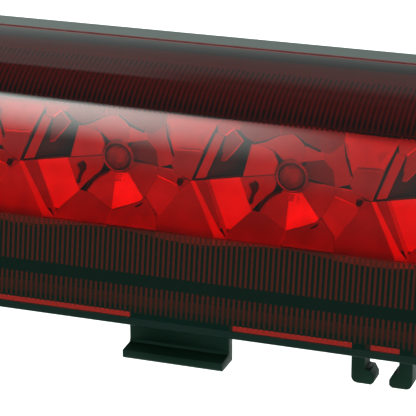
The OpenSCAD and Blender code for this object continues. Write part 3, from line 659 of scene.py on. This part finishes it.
def moulded(name, colour, worn, rough, grain, relief=0.3, metal=0.0, ior=1.5, patches=60.0,
            sheen=(1, 1, 1, 1), top=None):
    """A finish with grain of a size in millimetres, and soft patches where it is duller or paler. top is
    a colour painted on the upper part as painted light, with the two heights between which it comes in."""
    finish = new_finish(name)
    place = place_on(finish)
    fine_grain = add(finish, "TexNoise", {"Scale": 1000.0 / grain, "Detail": 4.0, "Roughness": 0.6},
                     Vector=place)
    wear = add(finish, "TexNoise", {"Scale": patches, "Detail": 5.0, "Roughness": 0.55}, Vector=place)
    worn_share = add(finish, "MapRange", {1: 0.42, 2: 0.72}, i0=wear.outputs[0])
    tone = two_tone(finish, worn_share.outputs[0], colour, worn)
    if top:
        painted_top_colour, start, end = top
        tone = two_tone(finish, above(finish, start, end), tone, painted_top_colour)
    dullness = add(finish, "MapRange", {1: 0.3, 2: 0.7, 3: rough - 0.05, 4: rough + 0.09},
                   i0=wear.outputs[0])
    bumps = add(finish, "Bump", {"Strength": relief, "Distance": 0.0001}, Height=fine_grain.outputs[0])
    surface(finish, {"Metallic": metal, "IOR": ior, "Specular Tint": sheen}, Base_Color=tone,
            Roughness=dullness.outputs[0], Normal=bumps.outputs[0])
    return finish


def softened(node, piece_name, finish, width, body="lamp"):
    """Stands for a CAD node: its mesh merged and cleaned, with sharp edges rounded by a width in mm."""
    mesh = node_of[node].data.copy()
    mesh.name = piece_name
    edit = bmesh.new()
    edit.from_mesh(mesh)
    bmesh.ops.remove_doubles(edit, verts=edit.verts, dist=MERGE)
    bmesh.ops.dissolve_limit(edit, angle_limit=FLAT, verts=edit.verts, edges=edit.edges)
    edges = [e for e in edit.edges if len(e.link_faces) == 2 and e.calc_face_angle(0.0) > EDGE]
    bmesh.ops.bevel(edit, geom=edges, offset=width * MM, segments=2, profile=0.5, affect="EDGES",
                    clamp_overlap=True)
    bmesh.ops.triangulate(edit, faces=[face for face in edit.faces if len(face.verts) > 4])
    bmesh.ops.remove_doubles(edit, verts=edit.verts, dist=MERGE_AFTER)
    bmesh.ops.dissolve_degenerate(edit, edges=edit.edges, dist=NO_LENGTH)
    edit.to_mesh(mesh)
    edit.free()
    mesh.shade_smooth()
    mesh.set_sharp_from_angle(angle=CREASE)
    mesh.materials.clear()
    mesh.materials.append(finish)
    piece = bpy.data.objects.new(piece_name, mesh)
    bpy.context.scene.collection.objects.link(piece)
    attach(piece, body)
    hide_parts(node)
    return piece


# The housing's top, from 38 mm up, is painted red-brown: a painted reflection, as on the bezel.
housing_grain = moulded("housing_grain", (0.004, 0.006, 0.006, 1), (0.010, 0.011, 0.011, 1), rough=0.45,
                        grain=0.25, ior=1.38, top=((0.075, 0.034, 0.033, 1), 38, 40.5))
dress("housing", housing_grain)

# Mounting rail. Black moulded plastic under the housing, held by four small screws. It carries four
# wide panel hooks and two facing barbs that grip the washer hose.
rail_plastic = moulded("rail_plastic", (0.002, 0.008, 0.005, 1), (0.004, 0.011, 0.008, 1), rough=0.40,
                       grain=0.3, relief=0.15, ior=1.26, sheen=(0.4, 1.0, 0.75, 1))
rail = softened("mounting_rail", "rail_moulding", rail_plastic, 0.22)

# Circuit board. Glass-epoxy laminate under green solder mask, with copper tracks showing through as
# paler lines. It is screwed to four posts on the reflector's back.
board_green = new_finish("board_green")
tracks = add(board_green, "TexWave", {"Scale": 120.0, "Distortion": 3.0, "Detail": 1.0, "Detail Scale": 0.4,
                                      "bands_direction": "Z"}, Vector=place_on(board_green))
track_share = add(board_green, "MapRange", {1: 0.55, 2: 0.62}, i0=tracks.outputs[0]).outputs[0]
mask_tone = two_tone(board_green, track_share, (0.006, 0.075, 0.030, 1), (0.020, 0.150, 0.060, 1))
track_relief = add(board_green, "Bump", {"Strength": 0.4, "Distance": 0.00004}, Height=track_share)
surface(board_green, {"Roughness": 0.32}, Base_Color=mask_tone, Normal=track_relief.outputs[0])
dress("circuit_board", board_green)

# LED leads and spacers. Tinned steel wires, soldered behind the board, and the white nylon spacers
# that hold each LED at its height.
tinned_wire = moulded("tinned_wire", (0.52, 0.51, 0.49, 1), (0.33, 0.32, 0.31, 1), rough=0.3, grain=0.08,
                      relief=0.2, metal=1.0, patches=400.0)
dress("led_leads", tinned_wire)
nylon_white = moulded("nylon_white", (0.74, 0.73, 0.68, 1), (0.66, 0.63, 0.55, 1), rough=0.42, grain=0.12,
                      relief=0.15, patches=200.0)
dress("led_spacers", nylon_white)

# Resistors. Lacquered ceramic rods on wire ends, with painted colour rings. One stands in series
# with each pair of LEDs.
resistor_lacquer = new_finish("resistor_lacquer")
rod_place = place_on(resistor_lacquer)
rings = add(resistor_lacquer, "TexWave", {"Scale": 260.0, "bands_direction": "X"}, Vector=rod_place)
ring_share = add(resistor_lacquer, "MapRange", {1: 0.78, 2: 0.86}, i0=rings.outputs[0])
rod_tone = two_tone(resistor_lacquer, ring_share.outputs[0], (0.55, 0.40, 0.20, 1), (0.20, 0.06, 0.02, 1))
rod_speck = add(resistor_lacquer, "TexNoise", {"Scale": 3000.0}, Vector=rod_place)
rod_relief = add(resistor_lacquer, "Bump", {"Strength": 0.2, "Distance": 0.00003},
                 Height=rod_speck.outputs[0])
surface(resistor_lacquer, {"Roughness": 0.28}, Base_Color=rod_tone, Normal=rod_relief.outputs[0])
dress("resistors", resistor_lacquer)

# Diode and suppressor. A black moulded diode against wrong polarity, and a blue dipped disc that
# takes the surges of the car's supply. Both are soldered to the board by the socket.
diode_epoxy = moulded("diode_epoxy", (0.012, 0.012, 0.013, 1), (0.05, 0.05, 0.05, 1), rough=0.28, grain=0.1,
                      relief=0.15, patches=500.0)
dress("polarity_diode", diode_epoxy)
dipped_blue = moulded("dipped_blue", (0.012, 0.060, 0.32, 1), (0.02, 0.09, 0.40, 1), rough=0.2, grain=0.6,
                      relief=0.35, patches=300.0)
dress("surge_suppressor", dipped_blue)

# Blade terminals and plug socket. Two tinned brass blades cross from the board into a socket of
# glass-filled nylon, which is screwed to the housing over an orange silicone seal.
blade_brass = moulded("blade_brass", (0.66, 0.50, 0.22, 1), (0.50, 0.36, 0.17, 1), rough=0.24, grain=0.1,
                      relief=0.12, metal=1.0, patches=350.0)
dress("blade_terminals", blade_brass)
glass_nylon = moulded("glass_nylon", (0.013, 0.013, 0.014, 1), (0.035, 0.034, 0.033, 1), rough=0.48,
                      grain=0.16, relief=0.35, patches=150.0)
socket = softened("connector_socket", "socket_moulding", glass_nylon, 0.2)
silicone = moulded("silicone", (0.58, 0.13, 0.025, 1), (0.64, 0.19, 0.05, 1), rough=0.55, grain=0.2,
                   relief=0.12, patches=200.0)
dress("socket_seal", silicone)

# Screws. Small self-tapping pan heads of zinc-plated steel: two hold the socket, four the board, two
# the reflector and four the rail.
zinc = moulded("zinc", (0.60, 0.60, 0.57, 1), (0.42, 0.43, 0.40, 1), rough=0.3, grain=0.12, relief=0.2,
               metal=1.0, patches=450.0)
for name in ("socket_screws", "board_screws", "reflector_screws", "rail_screws"):
    screws = softened(name, name + "_plated", zinc, 0.12)

# Body gasket. Closed-cell foam, die-cut in a ring and stuck to the housing's back, so that no water
# gets in round the pegs, clips and plug.
cell_foam = new_finish("cell_foam")
foam_place = place_on(cell_foam)
cells = add(cell_foam, "TexVoronoi", {"Scale": 1700.0}, Vector=foam_place)
soil = add(cell_foam, "TexNoise", {"Scale": 90.0, "Detail": 4.0}, Vector=foam_place)
foam_tone = two_tone(cell_foam, soil.outputs[0], (0.030, 0.030, 0.032, 1), (0.075, 0.073, 0.070, 1))
foam_relief = add(cell_foam, "Bump", {"Strength": 0.7, "Distance": 0.0002}, Height=cells.outputs[0])
surface(cell_foam, {"Roughness": 0.95, "IOR": 1.3}, Base_Color=foam_tone, Normal=foam_relief.outputs[0])
dress("body_gasket", cell_foam)

# Breather. A black moulded cap, snapped into the rear wall over a film of white breathing plastic
# that lets damp air out and keeps water back.
cap_plastic = moulded("cap_plastic", (0.014, 0.014, 0.015, 1), (0.03, 0.03, 0.03, 1), rough=0.36, grain=0.3,
                      relief=0.15, patches=180.0)
cap = softened("vent_cap", "vent_cap_moulding", cap_plastic, 0.25)
breathing_film = moulded("breathing_film", (0.82, 0.82, 0.79, 1), (0.74, 0.73, 0.70, 1), rough=0.8,
                         grain=0.05, relief=0.4, patches=900.0)
dress("vent_membrane", breathing_film)

# Spring clips. Strips of phosphated spring steel, bent into a nose that snaps behind the car's body.
# The free leaf of each flexes about its bend as the lamp is pushed home.
spring_steel = moulded("spring_steel", (0.30, 0.29, 0.27, 1), (0.19, 0.18, 0.17, 1), rough=0.34, grain=0.1,
                       relief=0.25, metal=1.0, patches=220.0)
for word in ("left", "right"):
    for part, body in (("clip", "lamp"), ("leaf", "leaf_" + word)):
        strip_name = part + "_" + word
        strip = softened("spring_" + strip_name, "steel_" + strip_name, spring_steel, 0.06, body)

# Studio. Soft light from all round the lamp, worked out for each direction: a key light high on the
# left, a low front light, a back wall, a ceiling and weak fills. The backdrop itself is white.
studio = bpy.data.worlds.new("studio")
bpy.context.scene.world = studio
studio.use_nodes = True
studio.node_tree.nodes.clear()
toward = add(studio, "TexCoord")
EAST, NORTH, UP = add(studio, "SeparateXYZ", i0=toward.outputs["Generated"]).outputs


def ramp(source, start, end, low=0.0, high=1.0):
    """A smooth step from low at start to high at end, of one component of the direction."""
    values = {"interpolation_type": "SMOOTHSTEP", 1: start, 2: end, 3: low, 4: high}
    return add(studio, "MapRange", values, i0=source).outputs[0]


def times(first, *others):
    """The product of sockets and plain numbers."""
    for other in others:
        if isinstance(other, float):
            first = add(studio, "Math", {"operation": "MULTIPLY", 1: other}, i0=first).outputs[0]
        else:
            first = add(studio, "Math", {"operation": "MULTIPLY"}, i0=first, i1=other).outputs[0]
    return first


def plus(first, *others):
    """The sum of sockets."""
    for other in others:
        first = add(studio, "Math", {"operation": "ADD"}, i0=first, i1=other).outputs[0]
    return first


before = ramp(NORTH, 0.08, -0.05)
behind = ramp(NORTH, 0.0, 0.12)
key = times(ramp(UP, 0.53, 0.76, 0, 5.2), ramp(UP, 0.80, 0.74), ramp(EAST, -0.24, -0.40), before)
low_front = times(plus(ramp(UP, 0.0, 0.3, 0.045, 0.11), ramp(UP, 0.34, 0.52, 0.0, 0.2)),
                  ramp(NORTH, 0.32, 0.12), ramp(UP, 0.80, 0.72, 0.3, 1.0))
sharp_edge = times(ramp(NORTH, 0.16, 0.24), ramp(EAST, -0.31, -0.37))
soft_edge = times(ramp(NORTH, 0.0, 0.78), ramp(EAST, -0.37, -0.31))
ceiling = times(plus(sharp_edge, soft_edge), ramp(UP, 0.3, 0.5), 0.36)
back_wall = times(ramp(UP, 0.74, 0.34, 0.0, 2.2), behind, ramp(UP, -0.05, 0.1))
right_fill = times(ramp(EAST, -0.16, 0.05, 0, 0.8), before)
left_fill = times(ramp(EAST, -0.5, -0.62, 0, 0.8), before)
side_fill = ramp(EAST, -0.1, 0.2, 0, 0.4)
under = ramp(UP, -0.15, -0.6, 0, 0.8)
total = plus(key, low_front, back_wall, right_fill, left_fill, side_fill, ceiling, under)
glow = add(studio, "Background", {"Color": (0.90, 1.0, 0.96, 1)}, Strength=total)
teal = add(studio, "Background", {"Color": (0.05, 1.0, 0.65, 1)},
           Strength=times(ramp(UP, -0.028, -0.05, 0, 0.138), before))
lights = add(studio, "AddShader", i0=glow.outputs[0], i1=teal.outputs[0])
backdrop = add(studio, "Background", {"Color": (1.0, 1.0, 1.0, 1), "Strength": 1.0})
ray = add(studio, "LightPath")
sky = add(studio, "MixShader", i0=ray.outputs["Is Camera Ray"], i1=lights.outputs[0], i2=backdrop.outputs[0])
add(studio, "OutputWorld", Surface=sky.outputs[0])

# Floor. A plain pale floor well below the lamp, wide enough to fill the view from any side. It
# doesn't show in the lamp's polished faces.
FLOOR_R, FLOOR_Z = 6, -0.5
pale_floor = new_finish("pale_floor")
surface(pale_floor, {"Base Color": (0.85, 0.85, 0.85, 1), "Roughness": 0.9, "Emission Color": (1, 1, 1, 1),
                     "Emission Strength": 0.55})
bpy.ops.mesh.primitive_circle_add(vertices=64, radius=FLOOR_R, fill_type="NGON", location=(0, 0, FLOOR_Z))
floor = bpy.context.object
floor.name = "floor"
floor.data.materials.append(pale_floor)
floor.visible_glossy = False

# Camera. In front of the lamp, to its right and a little above it, looking through a long lens at
# the cells just left of the middle.
VIEW_FROM, VIEW_ALONG = (0.09325, -0.37798, 0.13281), Vector((-0.3137, 0.8858, -0.3420))
camera = bpy.data.objects.new("camera", bpy.data.cameras.new("camera"))
bpy.context.scene.collection.objects.link(camera)
camera.location = VIEW_FROM
camera.rotation_euler = VIEW_ALONG.to_track_quat("-Z", "Y").to_euler()
camera.data.lens = 188.05
camera.data.sensor_width = 36
camera.data.clip_start = 0.01
bpy.context.scene.camera = camera
bpy.context.scene.view_settings.view_transform = "Standard"
